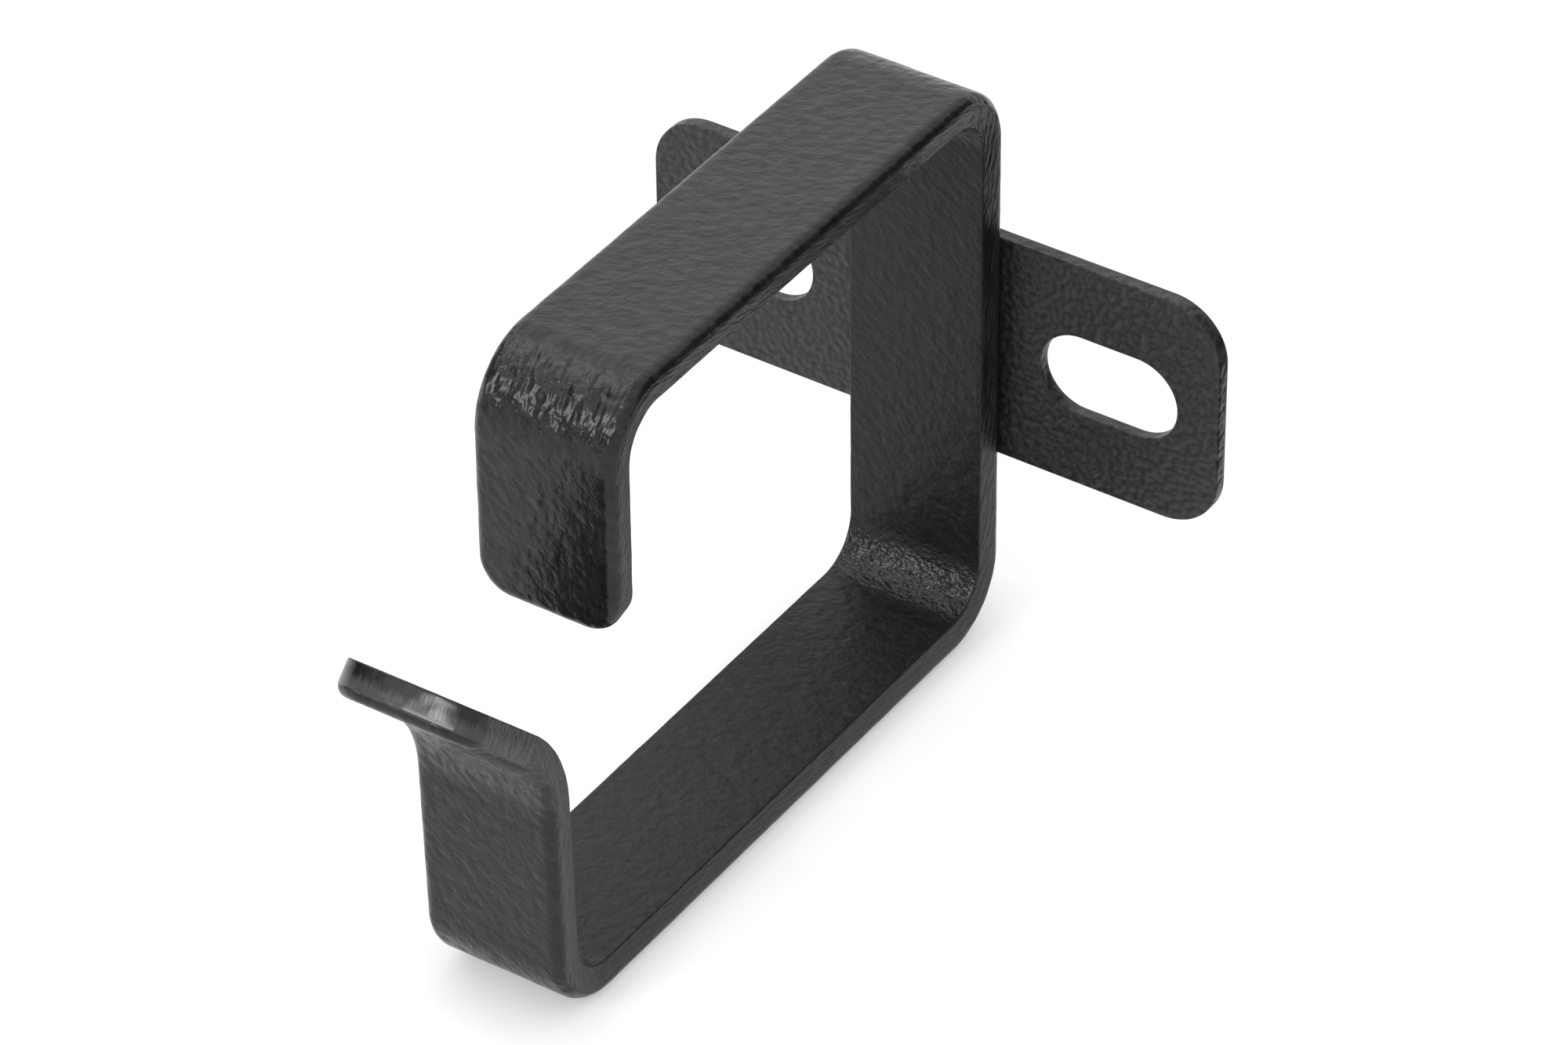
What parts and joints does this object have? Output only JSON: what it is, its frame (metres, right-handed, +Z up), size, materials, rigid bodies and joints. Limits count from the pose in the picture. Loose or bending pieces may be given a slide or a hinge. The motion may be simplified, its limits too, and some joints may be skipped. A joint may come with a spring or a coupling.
{
  "type": "rack cable management bracket",
  "caption": "Open square cable ring of folded flat steel bar with a flared mouth, welded to a small slotted plate that screws to a rack rail.",
  "frame": {"origin": "middle of the plate's rear face", "axes": "+X along the plate, +Y out of the plate's rear face towards the rack rail, +Z up"},
  "size_m": [0.0512, 0.0712, 0.0515],
  "materials": {
    "ring_coat": "black textured powder coat on steel bar",
    "plate_coat": "black textured powder coat on steel sheet"
  },
  "bodies": {
    "root": {"cable_ring": "ring_coat", "mounting_plate": "plate_coat"}
  },
  "joints": []
}
